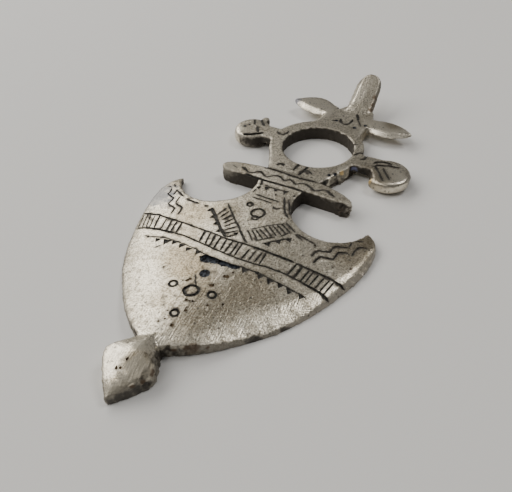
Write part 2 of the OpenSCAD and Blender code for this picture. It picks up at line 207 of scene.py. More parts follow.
# Engraved lines: width of the cut, then the points. A line that ends where it starts is closed.
LINES = [
    # Two arms that rise from the band to the neck
    (0.48, (-7.1, -21.4), (-6.1, -22.3), (-4.4, -23.95), (-3.7, -24.6), (-2.8, -25.3), (-2, -26)),
    (0.29, (-5.4, -19.6), (-4, -21), (-2.4, -22.5), (-1.5, -23.2), (-0.8, -24)),
    (0.37, (-1, -23.8), (-0.1, -24.6), (0.6, -25.25), (1.3, -25.7)),
    (0.22, (2, -24.7), (2.5, -24.3), (3, -23.8), (4, -22.8)),
    (0.22, (4.6, -22.35), (5, -21.8), (5.2, -21.2)),
    (0.2, (3.2, -24.7), (4.5, -23.4), (5.8, -22.1)),
    (0.16, (0.3, -23), (1.1, -22.35), (1.6, -21.7), (3.1, -20.5), (4, -19.8)),
    # Stepped lines at the left and the right
    (0.19, (-16.8, -19.1), (-16.4, -18.95), (-15.9, -19.2)),
    (0.27, (-15.8, -19.3), (-15.4, -20.2), (-15.5, -20.8), (-14.9, -21.05), (-13.9, -21.4), (-13.9, -22.3),
        (-13.9, -22.9), (-13.2, -23.1), (-12.3, -23.4), (-12.2, -24), (-12.1, -24.7)),
    (0.19, (-16.1, -18.1), (-15.5, -18.8)),
    (0.27, (-14.7, -19.6), (-14.5, -20.2), (-14.6, -20.7)),
    (0.27, (-13.2, -20.8), (-13.1, -21.6), (-12.9, -22.4)),
    (0.26, (-12.9, -22.4), (-12.3, -22.6), (-11.4, -22.9), (-11.1, -23.7), (-11.1, -24.4)),
    (0.26, (10.5, -24.4), (10.6, -23.6), (10.9, -22.9), (11.8, -22.65), (12.4, -22.5), (12.5, -21.8),
        (12.5, -21), (12.9, -20.7), (13.4, -20.5), (14, -20.6)),
    (0.24, (14.3, -20.5), (14.3, -19.5), (14.5, -18.7), (14.8, -18.4), (15.6, -18.2)),
    (0.22, (9.8, -23.5), (9.9, -22.5), (10.2, -22.1), (11.2, -21.7), (11.6, -21.5), (11.6, -20.7),
        (11.8, -20.1), (12.7, -19.75), (13.3, -19.45)),
    (0.19, (13.35, -19.3), (13.4, -18.3)),
    (0.18, (13.7, -17.7), (14.6, -17.2)),
    # Lines along the two crescent cuts
    (0.26, (-14.9, -19.4), (-14.3, -19.7), (-13.5, -20.1), (-12.7, -20.5)),
    (0.24, (-12, -20.8), (-11.2, -21), (-10.4, -21.1), (-9.4, -21.15)),
    (0.22, (-8.6, -21.25), (-7.7, -21.2)),
    (0.27, (6.2, -21), (6.9, -21.25), (7.5, -21.5)),
    (0.19, (6.3, -20.8), (7.3, -20.95), (9.4, -21.3)),
    # Lines of the neck
    (0.24, (-2.9, -15.85), (-1, -15.9), (1, -15.9)),
    (0.22, (-3, -16.7), (-1.1, -16.6), (0.2, -16.65)),
    (0.27, (-3.65, -12.4), (-3.3, -13.6)),
    (0.21, (-3.5, -14.7), (-3.5, -15.6)),
    (0.22, (-2.6, -13.3), (-0.9, -13.4), (0.5, -13.3), (1.2, -13.1)),
    (0.26, (1.3, -14.6), (1.9, -15.8), (2.4, -16.8), (2.9, -17.6), (3.8, -18.5)),
    (0.18, (2.1, -14.8), (2.8, -16), (3.3, -17.1), (3.8, -17.8)),
    # Waves of the crossbar, and the lines above and below them
    (0.29, (-8.1, -11), (-7.6, -11.15), (-6.9, -11.5), (-6.4, -11.8)),
    (0.18, (-6.3, -11.8), (-5.6, -11.45), (-5.3, -10.9)),
    (0.34, (-5.3, -10.9), (-4.9, -10.75), (-4.3, -11.1), (-3.6, -11.6)),
    (0.22, (-3.5, -11.6), (-2.9, -11.2), (-2.5, -10.7), (-2.1, -10.45)),
    (0.32, (-2.2, -10.45), (-1.6, -10.55), (-1, -10.9), (-0.4, -11.3)),
    (0.18, (-0.4, -11.2), (0, -10.45)),
    (0.3, (0, -10.4), (0.7, -10.8), (1.5, -11.3)),
    (0.19, (1.6, -11.1), (2.1, -10.5), (2.6, -10.5)),
    (0.27, (2.7, -10.5), (3.7, -10.9), (4.7, -11.5)),
    (0.18, (4.8, -11.4), (5.6, -10.65), (6.2, -10.45)),
    (0.29, (6.2, -10.45), (6.8, -10.9), (7.8, -11.4)),
    (0.16, (-9.6, -11.2), (-8.6, -11.5)),
    (0.32, (-5, -9.3), (-3.5, -9.4), (-2, -9.4), (-0.7, -9.5), (0.7, -9.6), (2.4, -9.5), (4, -9.35)),
    (0.27, (-6.6, -12.3), (-5, -12.35), (-3, -12.3), (-0.6, -12.2), (1.6, -12.15), (3.1, -12.15)),
    (0.19, (5.65, -12.1), (5.8, -12.35)),
    # Strokes under the hole
    (0.36, (-0.55, -5.8), (-0.6, -6.9), (-0.65, -7.9)),
    (0.4, (1, -6.1), (0.85, -7.2), (0.65, -8.7)),
    (0.3, (1, -7.6), (1.3, -6.95), (1.7, -7), (2.4, -7.6)),
    (0.4, (1.5, -7.5), (1.75, -7.85)),
    # Right lobe
    (0.32, (9.8, -0.5), (10.1, 0.1), (10.8, 0.45), (11.7, 0.65), (12.4, 0.5)),
    (0.27, (10, -1.3), (10.6, -0.7), (11.5, -0.4), (12.3, 0), (13.1, 0), (13.8, 0.2)),
    (0.35, (10.3, -1.2), (10.9, -1.9), (11.6, -2.75), (12, -3.4), (12.6, -4.2)),
    (0.34, (11.6, -1.1), (12.1, -1.9), (12.8, -2.7), (13.4, -3.5)),
    # Left lobe
    (0.5, (-12.9, -2.3), (-11.8, -1.9), (-11, -1.25), (-10.1, -0.45)),
    (0.3, (-13.5, 2.9), (-12.7, 1.4)),
    (0.42, (-12.75, 3.5), (-11.9, 2.6), (-11, 1.7)),
    (0.3, (-12, 1), (-11.4, 0.1), (-10.9, -0.6)),
    # Root of the crown
    (0.3, (-1.2, 8.6), (-0.4, 8.95)),
    (0.5, (1.9, 12.4), (2.5, 11.4), (2.8, 10.6)),
    (0.26, (2.7, 10.7), (3.3, 9.95), (3.95, 8.9)),
    (0.42, (-0.05, 9.7), (0.25, 8.9), (0.75, 8.4)),
    (0.26, (0.7, 8.45), (1.3, 8.35), (1.8, 8.8), (2, 9.4)),
    (0.4, (1.85, 9.2), (2, 9.9), (1.85, 10.5)),
    (0.26, (6.2, 0.2), (6.5, 0.95), (6.9, 1.4), (7.4, 1.5), (7.9, 1.1), (8.15, 0.4), (8.1, -0.1),
        (7.5, -0.35)),
    (0.24, (-8.1, 1.1), (-7.5, 0.55), (-6.8, 0.6), (-6.4, 1.2), (-6.4, 2)),
    (0.16, (5.1, 3.2), (5.6, 3.45)),
    # Rings with corners, and slips of the graver
    (0.4, (-1.4, -36.8), (-1.5, -36.4), (-1.15, -35.75), (-0.7, -35.5), (-0.2, -35.5), (0.2, -35.8),
        (0.35, -36.3), (0.2, -36.8), (-0.2, -37.15), (-0.8, -37.3), (-1.4, -36.8)),
    (0.2, (-1.2, -34.6), (-0.9, -34.9), (-0.5, -35.3)),
    (0.14, (-1.7, -33.8), (-1, -34.6)),
    (0.22, (-9.85, -31.6), (-9.35, -30.9)),
]

# Worn punches that run together in the middle of the row, charted in the same way
SMEAR = [
    (0.95, (-2.8, -30.65), (-2.1, -30.6), (-1.3, -30.55), (-0.3, -30.5)),
    (0.85, (-2.7, -31.1), (-2, -31.05), (-1.2, -31)),
    (0.8, (-1.7, -30.75), (-0.9, -30.75), (-0.2, -30.7)),
    (0.85, (-0.6, -30.5), (0.3, -30.5), (1.2, -30.5)),
    (0.68, (1, -30.5), (2, -30.35), (2.7, -30)),
]

# Ladders along a path: rungs, half length, lean in degrees, width of the cut, points of the path
LADDERS = [
    (8, 0.9, 16, 0.24, (-5.3, -21.5), (-4.2, -22.1), (-3.2, -23), (-2.2, -24.1), (-1.4, -25.5)),
    (10, 1.1, 12, 0.24, (0.9, -24.2), (1.8, -23.6), (2.8, -22.4), (3.7, -21.6), (4.2, -21), (5, -20.1)),
]

# Rings: X, Y, radius, width of the cut, first and last angle in degrees
RINGS = [
    (-0.47, -19.54, 0.96, 0.36, 0, 360), (-0.33, -20.64, 0.44, 0.32, 0, 360),
    (-2.45, -18.33, 0.42, 0.36, 0, 360), (1.3, -17, 0.56, 0.24, 200, 350),
    (-3.31, -36.33, 0.52, 0.36, 0, 360), (2.03, -35.7, 0.5, 0.33, 0, 360),
    (-0.29, -40.28, 0.5, 0.36, 0, 360), (-3, -7.65, 0.52, 0.4, 10, 190),
]

# Rows of triangular punches: count, size, side of the path that they point to, points of the path
PUNCH_ROWS = [
    (4, 0.5, -1, (-7.1, -22), (-5.9, -23.1), (-4.65, -24.3), (-3.5, -25.4)),
    (3, 0.56, -1, (3.8, -24.5), (4.8, -23.5), (5.95, -22.4)),
]

# Single punches: X, Y, size, turn in degrees
PUNCHES = [
    (-12.1, -30.1, 0.3, 12), (-10.5, -30.15, 0.62, 6), (-9.1, -30, 0.7, 4), (-7.9, -29.8, 0.56, 0),
    (-6.6, -29.95, 0.54, 0), (-5.3, -30.15, 0.54, 0), (-3.7, -30.2, 0.6, -2), (-2.6, -30.8, 0.6, 24),
    (-1.1, -30.8, 0.56, 20), (0.5, -30.65, 0.5, 8), (1.9, -30.4, 0.5, 4), (3.45, -30.05, 0.68, 4),
    (5, -29.7, 0.46, 10), (5.6, -29.95, 0.66, 6), (7.05, -30, 0.62, 0), (8.5, -29.95, 0.64, 0),
    (9.9, -30.1, 0.66, 0), (11.5, -30.15, 0.56, -4), (-1, -24.75, 0.5, 40), (-1.4, -25.5, 0.3, 10),
    (-3.3, -14.2, 0.42, 20), (-2.1, -13.8, 0.56, 10), (-0.7, -13.65, 0.42, 0), (0.8, -13.5, 0.44, 0),
    (-0.2, -14.6, 0.24, 0), (2.4, -13.65, 0.28, 0), (2.6, -26.1, 0.3, 180),
]

# Round marks: X, Y, radius
DOTS = [
    (-0.69, -33.11, 0.68), (-13.95, 0.15, 0.26), (-13.5, 0.95, 0.2), (3.15, 8.05, 0.34), (4.6, 9.5, 0.28),
    (-0.5, 8.9, 0.3), (4.85, -6.55, 0.3), (5.6, -5.9, 0.34),
]

# Brown pits of the casting: X, Y, radius
PITS = [
    (-2.5, -35.35, 0.14), (-2, -35.1, 0.26), (-1.8, -34.75, 0.22), (1.05, -34.45, 0.22),
    (1.3, -34.35, 0.22), (1.8, -32.3, 0.24), (2.15, -32.15, 0.3), (-0.2, -37.9, 0.15), (0.2, -37.8, 0.17),
    (0.6, -37.7, 0.13), (2.45, -37.3, 0.18), (0.65, -39.3, 0.2), (0.45, -39, 0.12), (3.95, -36.25, 0.14),
    (-6.35, -34.3, 0.14), (2.4, -31.2, 0.13), (-0.8, -41.5, 0.1), (-1.2, -42.2, 0.13), (0.5, -41.9, 0.2),
    (15.1, -22.8, 0.16), (9.35, -21.5, 0.15), (-0.6, -48.5, 0.18), (-1.2, -49.8, 0.2),
    (-0.7, -49.65, 0.14), (12.9, -23.8, 0.1), (8.8, -24, 0.1), (-1.25, -40.3, 0.1), (-2.2, -39.8, 0.1),
]

# Kinds of marks: name, sides, depth and raggedness in millimetres, material
MARK_KINDS = [
    ("triangles", 3, 0.4, 0.1, INK), ("dots", 18, 0.45, 0.05, SLATE), ("pits", 9, 0.3, 0.35, RUST),
]

# Stains and painted light: colour, then X, Y, Z, radius of each. Some are real stains, some painted
# shade and painted glints.
STAINS_AND_PAINTED_LIGHT = [
    # Rust
    ((0.1, 0.06, 0.03), (3.3, 16.8, 4, 1), (3.9, 15.6, 3.4, 1.2), (4, 14.4, 2.9, 1.2),
     (8.9, -13.3, 1.2, 1.4), (4.4, -43.4, 1.2, 1.5), (2.2, -47.8, 1.6, 1), (1.9, -49.4, 1.7, 0.6),
     (1.2, -50.3, 1.6, 0.5), (2.3, -44.2, 1.3, 0.6), (3.5, -43.4, 1.4, 0.8), (5.4, -41.9, 1.2, 0.4)),
    # Steel blue tip of the left leaf
    ((0.14, 0.145, 0.18), (-10.2, 12.5, 1.9, 2)),
    # Painted golden glints on the collar's broken wall
    ((0.8, 0.58, 0.26), (6.2, -4.7, 2, 0.65), (10.7, -4.3, 1.7, 0.8)),
    # Painted violet reflection on the collar's wall
    ((0.36, 0.38, 0.62), (7.4, -2.6, 1.6, 0.8)),
    # Painted shade: near-black on the collar's walls, in the gap by the right lobe and on the blade's right
    # wall
    ((0.02, 0.018, 0.015), (4.9, -7.8, 1.8, 1), (8.7, -2.5, 1.2, 1.2), (12.2, -35, 0, 1.7),
     (9.4, -38.2, 0, 1.7)),
    # Painted shade in the hollows of the crown's root, and a dark grey-brown patch on the left lobe
    ((0.22, 0.2, 0.16), (2.9, 10.4, 2.3, 2), (4.3, 9.3, 2.3, 1.4), (1.1, 12.2, 2.3, 1),
     (-12.4, 2.4, 2.3, 1.8), (-13.9, 0.3, 2.3, 1)),
    # A cool grey tone at the left edge
    ((0.36, 0.36, 0.365), (-16.6, -21.8, 0.8, 4.4)),
    # Painted shade in a bronze grey on the bud's right facets and the crossbar's left end
    ((0.31, 0.285, 0.23), (0.7, -48.7, 3, 2.6), (-0.4, -46.2, 2.8, 1.7), (-9.6, -11.6, 2.4, 2.4),
     (0.2, -50.6, 2.3, 1.4), (-0.25, -51.3, 2.1, 1.2), (-0.6, -51.9, 1.8, 1)),
    # Painted shade on the bud's lower walls, near-black at its foot
    ((0.06, 0.053, 0.045), (-0.2, -52.5, 0.5, 1.1), (0.4, -51.9, 0.6, 1.2), (1, -51, 0.7, 1.3),
     (1.5, -50.1, 0.8, 1.3), (2, -49.2, 0.8, 1.2)),
]

# Dull places and painted shade of the face, where the colour is multiplied darker: X, Y, Z, radius,
# strength
DULLED_AND_SHADED = [
    (1.7, -39.6, 2, 4.4, 0.5), (5.5, -32.4, 1.7, 5, 0.6), (3.6, -36, 1.8, 4.2, 0.5),
    (-8.6, -11.5, 2.3, 4, 0.5), (0.6, -48.4, 3.1, 2.6, 0.95), (-3.2, -32.8, 1.8, 5, 0.85),
    (-0.4, -35.6, 1.9, 4, 0.75), (-5.6, -31.8, 1.6, 4, 0.8), (14.5, -20, 1.2, 5, 0.6),
    (10.5, -4, 2.3, 4.5, 0.6), (8.8, 12.2, 2.3, 2.6, 0.8), (-15.6, -17.3, 0.9, 3, 0.5),
    (-2.6, -38.5, 1.9, 3.2, 0.5), (-9, -23.6, 1.4, 4.6, 0.75), (-5.2, -21.6, 1.7, 4, 0.6),
    (-7.4, -27.4, 1.6, 3.4, 0.5), (14.8, -17, 0.9, 3, 0.75), (0, -51, 2.2, 1.8, 0.6),
]

# Places painted bright: painted highlights on the leaves, the lobes, the tongue, the bud's facets and
# ridges, the rings' middles and the collar, and rubbed metal: X, Y, Z, radius
RUBBED_AND_HIGHLIT = [
    (8.3, 9.6, 2, 5.4), (-6.2, 10.6, 2, 4.6), (13.3, -3.2, 0.6, 3.5), (-14.8, -1.2, 0.7, 2.2),
    (-3.4, -49, 2, 3), (-0.6, 16.8, 3.6, 2.6), (5.3, -6.8, 1.8, 1.3), (6.5, -4.4, 1.7, 1.6),
    (1.05, -50.4, 2.3, 0.6), (1.55, -49.4, 2.6, 0.6), (1.8, -48.6, 2.9, 0.6), (1.7, -47.6, 2.9, 0.5),
    (-3.31, -36.33, 1.9, 0.6), (2.03, -35.7, 1.9, 0.6), (-0.29, -40.28, 2.1, 0.6),
    (2.25, -44.2, 1.8, 0.45), (3.1, -43.7, 1.85, 0.45), (0.5, -44.7, 2.1, 1.1), (2.2, -48.1, 1.9, 1.2),
]

# Places of the walls that are broken raw: X, Y, Z, radius
RAW_SPOTS = [
    (16.8, -20, 0.6, 3.4), (16.4, -25, 0.6, 3.6), (14.8, -29.5, 0.6, 3.4), (12.6, -33.5, 0.6, 3.2),
    (10.4, -11.6, 1.2, 1.6),
]

# Broken surfaces: X, Y, Z, radius, depth
BROKEN = [
    (6, -5.4, 1.2, 2.6, 0.4), (9.9, -11.9, 1.2, 2, 0.35), (14.2, -31.5, 0.5, 4.5, 0.1),
    (1.6, -46.5, 1, 2.4, 0.15), (2.1, -49.2, 1.4, 1.7, 0.22), (3, -43.8, 1.2, 2.6, 0.15),
    (16.6, -23, 0.5, 5, 0.12),
]

# Soft joints, where one form runs into the next: X, Y, Z, radius
JOINTS = [
    (-3.9, 10.6, 2, 2.6), (5, 9.2, 2, 2.4), (1.8, 13, 2.3, 3.4), (-8.6, 0.5, 1.6, 1.6),
    (8.9, -0.6, 1.6, 1.6), (4.6, 5.2, 1.6, 1.4), (-10.9, 3.2, 1.6, 1), (7.7, 1.4, 1.6, 1.6),
    (14.2, -3.6, 2.2, 2.2), (-14.8, -1, 2.2, 1.6),
]

# Rolled rim: Y, width of the roll, width and depth of the broken edge at the right
RIM = [
    (-44, 1.6, 0, 0), (-41, 2.6, 0, 0), (-38, 3.8, 0, 0), (-35, 3.8, 0.12, 0.06), (-32, 3.2, 0.25, 0.18),
    (-29, 2.2, 0.4, 0.35), (-26, 1.3, 0.6, 0.5), (-22, 0.75, 0.65, 0.5), (-19, 0.6, 0.5, 0.3),
    (-17, 0.5, 0, 0),
]

# Soft lights: name, azimuth and elevation in degrees, width and height in metres, colour
LIGHTS = [
    ("key", 177, 40, (0.95, 0.33), (1, 0.975, 0.925)),
    ("top", 246, 60, (0.22, 0.22), (1, 0.985, 0.96)),
    ("side", 50, 56, (0.2, 0.2), (1, 0.985, 0.96)),
    ("back", 106, 24, (0.3, 0.16), (1, 0.985, 0.96)),
]

# What the lights face, how far from it they stand, and the width of the floor, in metres
LIT_SPOT = Vector((0, -0.018, 0))
LIGHT_OFF = 0.6
FLOOR_SIZE = 3.0

# What every colour among the settings has
COLOUR = {"subtype": "COLOR", "min": 0, "max": 1}

# What every power among the settings has
WATTS = {"min": 0, "unit": "POWER"}


class CastingSettings(PropertyGroup):
    grain: FloatProperty(name="Grain", description="Size of the mesh's cells in mm", default=0.18, min=0.12)
    wear: IntProperty(name="Wear", description="How often the edges are rubbed soft", default=1, min=0)
    melt: IntProperty(name="Melt", description="How often the joints are rubbed soft", default=14, min=0)
    dents: FloatProperty(name="Dents", description="Depth of the soft dents in mm", default=0.012, min=0)
    skin: FloatProperty(name="Skin", description="Roughness of the cast walls in mm", default=0.09, min=0)
    roll: FloatProperty(name="Roll", description="Slope of the rolled rim at its edge", default=0.3, min=0)
    back: FloatProperty(
        name="Back", description="Share of the back's faces that is kept", default=0.2, min=0.05, max=1,
        subtype="FACTOR",
    )


class EngravingSettings(PropertyGroup):
    depth: FloatProperty(
        name="Depth", description="Depth of a cut as a share of its width", default=0.5, min=0.1
    )
    step: FloatProperty(name="Step", description="Length of a cut's bits in mm", default=0.3, min=0.1)
    burr: FloatProperty(name="Burr", description="Height of a cut's ridge in mm", default=0.012, min=0)
    reach: FloatProperty(name="Reach", description="Distance of the ridge in mm", default=0.2, min=0)
    taper: FloatProperty(name="Taper", description="Length of its thin ends in mm", default=0.35, min=0.01)
    wobble: FloatProperty(name="Wobble", description="Unevenness of the hand in mm", default=0.05, min=0)
    seed: IntProperty(name="Seed", description="Seed of the unevenness", default=7)


class FinishSettings(PropertyGroup):
    silver: FloatVectorProperty(
        name="Silver", description="Colour of the bare metal", default=(0.85, 0.785, 0.65), **COLOUR
    )
    dull: FloatVectorProperty(
        name="Dull", description="Colour of the dulled metal", default=(0.42, 0.373, 0.285), **COLOUR
    )
    shade: FloatVectorProperty(
        name="Shade", description="What dull places keep of the colour", default=(0.45, 0.4, 0.32), **COLOUR
    )
    # Cast skin of the walls; its dark colour is also painted shade on walls and edges
    cast: FloatVectorProperty(
        name="Cast skin", description="Colour of the unfiled walls", default=(0.21, 0.19, 0.155), **COLOUR
    )
    raw: FloatVectorProperty(
        name="Raw", description="Colour of the broken edge", default=(0.4, 0.36, 0.3), **COLOUR
    )
    # Painted shade: near-black colour of walls in the shelter of others, with their dark tarnish
    shade_tarnish_colour: FloatVectorProperty(
        name="Shade and tarnish", description="Colour of the sheltered walls", default=(0.045, 0.037, 0.028), **COLOUR
    )
    ink: FloatVectorProperty(
        name="Ink", description="Colour in the cuts", default=(0.045, 0.042, 0.036), **COLOUR
    )
    slate: FloatVectorProperty(
        name="Slate", description="Colour in the round marks", default=(0.032, 0.037, 0.045), **COLOUR
    )
    rust: FloatVectorProperty(
        name="Rust", description="Colour in the pits", default=(0.11, 0.076, 0.042), **COLOUR
    )
    relief: FloatProperty(name="Relief", description="Depth of the grain in mm", default=0.05, min=0)
    gloss: FloatProperty(
        name="Roughness", description="Roughness of the metal", default=0.31, min=0.05, max=1,
        subtype="FACTOR",
    )


class StageSettings(PropertyGroup):
    floor: FloatVectorProperty(
        name="Floor", description="Colour of the floor", default=(0.8, 0.79, 0.77), **COLOUR
    )
    room: FloatProperty(name="Room", description="Brightness of the room", default=0.1, min=0)
    key: FloatProperty(name="Key", description="Power of the wide light at the left", default=3.9, **WATTS)
    top: FloatProperty(name="Top", description="Power of the overhead light", default=0.5, **WATTS)
    side: FloatProperty(name="Side", description="Power of the light at the right", default=0.85, **WATTS)
    back: FloatProperty(name="Back", description="Power of the light behind", default=0.03, **WATTS)
    lens: FloatProperty(name="Lens", description="Focal length", default=38.67, min=10, unit="CAMERA")


def new_object(name, data):
    made = bpy.data.objects.new(name, data)
    bpy.context.scene.collection.objects.link(made)
    return made


def modify(piece, kind, **props):
    modifier = piece.modifiers.new(kind.lower(), kind)
    for name, value in props.items():
        setattr(modifier, name, value)


def settle(piece):
    """Puts the evaluated mesh into the piece and takes its modifiers off."""
    graph = bpy.context.evaluated_depsgraph_get()
    mesh = bpy.data.meshes.new_from_object(piece.evaluated_get(graph))
    piece.modifiers.clear()
    old, piece.data = piece.data, mesh
    bpy.data.meshes.remove(old)


def modify_part(piece, kind, shares, **props):
    """A modifier on part of the piece, from pairs of a weight and the vertices that have it."""
    group = piece.vertex_groups.new(name="part")
    for weight, chosen in shares:
        group.add(np.flatnonzero(chosen).tolist(), weight, "REPLACE")
    modify(piece, kind, vertex_group=group.name, **props)
    settle(piece)
    piece.vertex_groups.clear()


def facts_of(items, name, width, kind=np.float32):
    """One fact of all items, such as the place of each vertex, with a row for each."""
    values = np.empty(len(items) * width, kind)
    items.foreach_get(name, values)
    return values.reshape(-1, width)


def coords(mesh):
    return facts_of(mesh.vertices, "co", 3)


def normals(mesh):
    return facts_of(mesh.vertex_normals, "vector", 3)


def move_to(mesh, co):
    mesh.vertices.foreach_set("co", co.astype(np.float32).ravel())
    mesh.update()


def smooth_step(low, high, x):
    """0 below low, 1 above high, and smooth between."""
    t = np.clip((x - low) / (high - low), 0, 1)
    return t * t * (3 - 2 * t)


def noise_at(points, size, octaves=2):
    """Fractal noise from about -1 to 1 at each point, with features of the given size."""
    values = [noise.fractal(Vector(point) / size, 1.0, 2.0, octaves) for point in points.tolist()]
    return np.array(values, np.float32)


def search_tree(points):
    """A tree that finds the nearest of the points."""
    tree = kdtree.KDTree(len(points))
    for k, point in enumerate(points.tolist()):
        tree.insert(point, k)
    tree.balance()
    return tree


def distances(tree, points):
    """How far each point is from the nearest one in the tree."""
    return np.array([tree.find(point)[2] for point in points.tolist()], np.float32)


# Casting: a fine copy of the solid, worn and dented, in millimetres


def solid_copy():
    """The solid as one closed mesh, with its doubles merged."""
    mesh = frame["nodes"]["pendant"].data.copy()
    mesh.materials.clear()
    mesh.transform(Matrix.Scale(PER_M, 4))
    shell = bmesh.new()
    shell.from_mesh(mesh)
    bmesh.ops.remove_doubles(shell, verts=shell.verts, dist=0.001)
    shell.to_mesh(mesh)
    shell.free()
    return new_object(PIECE, mesh)


def near_spots(co, rows):
    """For each vertex, how near it is to the spots (X, Y, Z, radius): 1 at a middle, 0 outside."""
    share = np.zeros(len(co), np.float32)
    for x, y, z, r in rows:
        share = np.maximum(share, 1 - np.linalg.norm(co - (x, y, z), axis=1) / r)
    return share


def melt_joints(piece, settings):
    """Rubs the joints of the forms soft, as cast ones are."""
    share = smooth_step(0, 0.5, near_spots(coords(piece.data), JOINTS)) * MELT_BANDS
    bands = [
        (level / MELT_BANDS, (share > level - 1) & (share <= level)) for level in range(1, MELT_BANDS + 1)
    ]
    modify_part(piece, "SMOOTH", bands, iterations=settings.melt)


def dent(mesh, settings):
    """Soft dents all over, and a rougher skin on the walls and the broken places, inside the CAD box."""
    co, no = coords(mesh), normals(mesh)
    steep = 1 - np.abs(no[:, 2])
    # Each noise is read at a place of its own, so that they don't run together
    move = noise_at(co, BROAD) * settings.dents + noise_at(co + 50, FINE) * settings.dents * FINE_SHARE
    rough = smooth_step(0.25, 0.7, steep) * settings.skin
    for *spot, depth in BROKEN:
        rough += depth * smooth_step(0, 0.6, near_spots(co, [spot])) * smooth_step(0.02, 0.4, steep)
    move += noise_at(co + 90, ROUGH, 3) * rough
    low, high = (np.array(c) * PER_M for c in CAD_BOX)
    move_to(mesh, np.clip(co + no * move[:, None], low, high))


def roll_rim(mesh, settings):
    """Rolls the blade's face down towards its outer rim, and breaks the edge at the right."""
    co, no = coords(mesh), normals(mesh)
    places, *columns = np.array(RIM).T
    y = co[:, 1]
    blade = (y < BLADE_TOP) & (y > places[0])
    fade = smooth_step(places[0], places[1], y) * smooth_step(BLADE_TOP, BLADE_TOP - 2, y)
    reach, edge, depth = (np.interp(y, places, column) for column in columns)
    edge *= (1 + 0.25 * noise_at(co, 1.5)) * (co[:, 0] > 0)
    plan = co * (1, 1, 0)
    rim = search_tree(plan[blade & (np.abs(no[:, 2]) < 0.4) & (no[:, 1] < 0.25)])
    face = blade & (co[:, 2] > FACE_LOW)
    off = np.full(len(co), np.inf)
    off[face] = distances(rim, plan[face])
    inner = np.maximum(0, off - edge)
    fall = settings.roll * reach / 2 * np.maximum(0, 1 - inner / reach) ** 2 * fade
    fall += depth * np.maximum(0, 1 - off / np.maximum(edge, 1e-6))
    co[:, 2] -= fall * np.minimum(1, co[:, 2] / FACE_FULL)
    move_to(mesh, co)


def thin_back(piece, settings):
    """Takes faces out of the flat back, where nothing shows."""
    back = (coords(piece.data)[:, 2] < BACK_HIGH) & (normals(piece.data)[:, 2] < BACK_FACING)
    modify_part(piece, "DECIMATE", [(1.0, back)], ratio=1 - back.mean() * (1 - settings.back))


# Nodes


class Wire:
    """An output of a node. Sums and products of wires add Math nodes to the same tree."""

    def __init__(self, tree, socket):
        self.tree = tree
        self.socket = socket

    def __getitem__(self, name):
        """Another output of the same node."""
        return Wire(self.tree, self.socket.node.outputs[name])

    def __add__(self, other):
        return maths("ADD", self, other)

    def __sub__(self, other):
        return maths("SUBTRACT", self, other)

    def __rsub__(self, other):
        return maths("SUBTRACT", other, self)

    def __mul__(self, other):
        return maths("MULTIPLY", self, other)

    def clamped(self):
        """The same wire, kept between 0 and 1 by its own node."""
        self.socket.node.use_clamp = True
        return self


def add(tree, kind, inputs=(), out=0, **props):
    """A node with its properties and inputs set, by order or by name. Gives back one output."""
    made = tree.nodes.new(kind)
    for name, value in props.items():
        setattr(made, name, value)
    for name, value in inputs.items() if isinstance(inputs, dict) else enumerate(inputs):
        socket = made.inputs[name]
        if isinstance(value, Wire):
            tree.links.new(value.socket, socket)
        else:
            socket.default_value = (*value, 1) if socket.type == "RGBA" else value
    return Wire(tree, made.outputs[out]) if made.outputs else None


def maths(operation, *values):
    tree = next(value.tree for value in values if isinstance(value, Wire))
    return add(tree, "ShaderNodeMath", values, operation=operation)


def vectors(operation, a, b):
    return add(a.tree, "ShaderNodeVectorMath", (a, b), operation=operation)


def xyz(tree, x=0.0, y=0.0, z=0.0):
    return add(tree, "ShaderNodeCombineXYZ", (x, y, z))


def parts(vector):
    """The X, Y and Z of a vector."""
    return add(vector.tree, "ShaderNodeSeparateXYZ", (vector,))


# Geometry Nodes: cutters from the chart


def new_tree(name, **sockets):
    """A tree with the named inputs beside its geometry. Gives back its input node."""
    tree = bpy.data.node_groups.new(name, "GeometryNodeTree")
    for socket, kind in {"Geometry": "Geometry", **sockets}.items():
        tree.interface.new_socket(socket, in_out="INPUT", socket_type="NodeSocket" + kind)
    tree.interface.new_socket("Geometry", in_out="OUTPUT", socket_type="NodeSocketGeometry")
    return add(tree, "NodeGroupInput")


def finished(geometry, material=None):
    """Ends a tree: its instances are made real, and its material is set."""
    tree = geometry.tree
    solid = add(tree, "GeometryNodeRealizeInstances", {"Geometry": geometry})
    if material:
        solid = add(tree, "GeometryNodeSetMaterial", {"Geometry": solid, "Material": material})
    add(tree, "NodeGroupOutput", {"Geometry": solid})
    return tree


def run_tree(piece, tree, **values):
    """Puts the tree on the piece with its inputs set by identifier, and settles the result."""
    modifier = piece.modifiers.new(tree.name, "NODES")
    modifier.node_group = tree
    for item in tree.interface.items_tree:
        if item.in_out == "INPUT" and item.name in values:
            modifier[item.identifier] = values[item.name]
    settle(piece)


def named(tree, name, kind="FLOAT"):
    return add(tree, "GeometryNodeInputNamedAttribute", {"Name": name}, "Attribute", data_type=kind)


